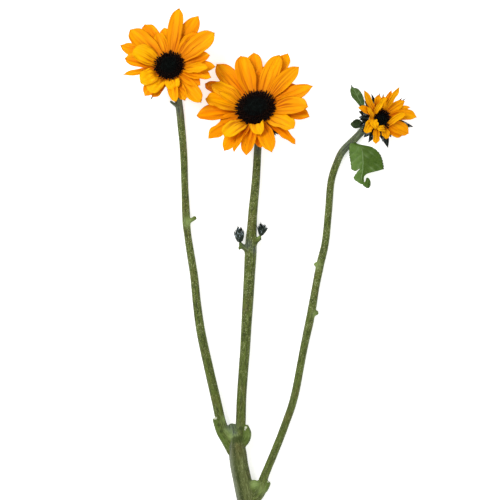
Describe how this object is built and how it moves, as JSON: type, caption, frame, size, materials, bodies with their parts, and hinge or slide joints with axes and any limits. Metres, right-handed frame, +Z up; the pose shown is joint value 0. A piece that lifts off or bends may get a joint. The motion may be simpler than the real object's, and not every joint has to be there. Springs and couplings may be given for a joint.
{
  "type": "cut sunflower",
  "caption": "Cut branching sunflower lying down: yellow-orange flower heads with dark discs on one forked green stalk, with small buds and leaves.",
  "frame": {"origin": "on the surface the flower lies on, under the middle of its bounding box", "axes": "+Y along the stalk from the cut end to the flower heads, +Z up out of the surface towards the open faces of the heads, +X to the right seen from above with the heads away from the viewer"},
  "size_m": [0.3267, 0.5943, 0.0796],
  "materials": {
    "stalk": "fresh green stalk, fine pale hairs, faint ridges",
    "petal": "soft satin petal with lengthwise grooves",
    "disc": "near-black packed florets, matte",
    "bract": "dark green, hairy, matte",
    "leaf": "leaf green with paler veins, slightly rough",
    "bud": "dark grey-green, hairy, matte"
  },
  "bodies": {
    "root": {"stem": "stalk", "left_head_rays": "petal", "left_head_disc": "disc", "left_head_bracts": "bract", "middle_head_rays": "petal", "middle_head_disc": "disc", "middle_head_bracts": "bract", "right_head_rays": "petal", "right_head_disc": "disc", "right_head_bracts": "bract", "torn_leaf": "leaf", "upper_leaf": "leaf", "side_leaf": "leaf", "left_bud": "bud", "right_bud": "bud"}
  },
  "joints": []
}
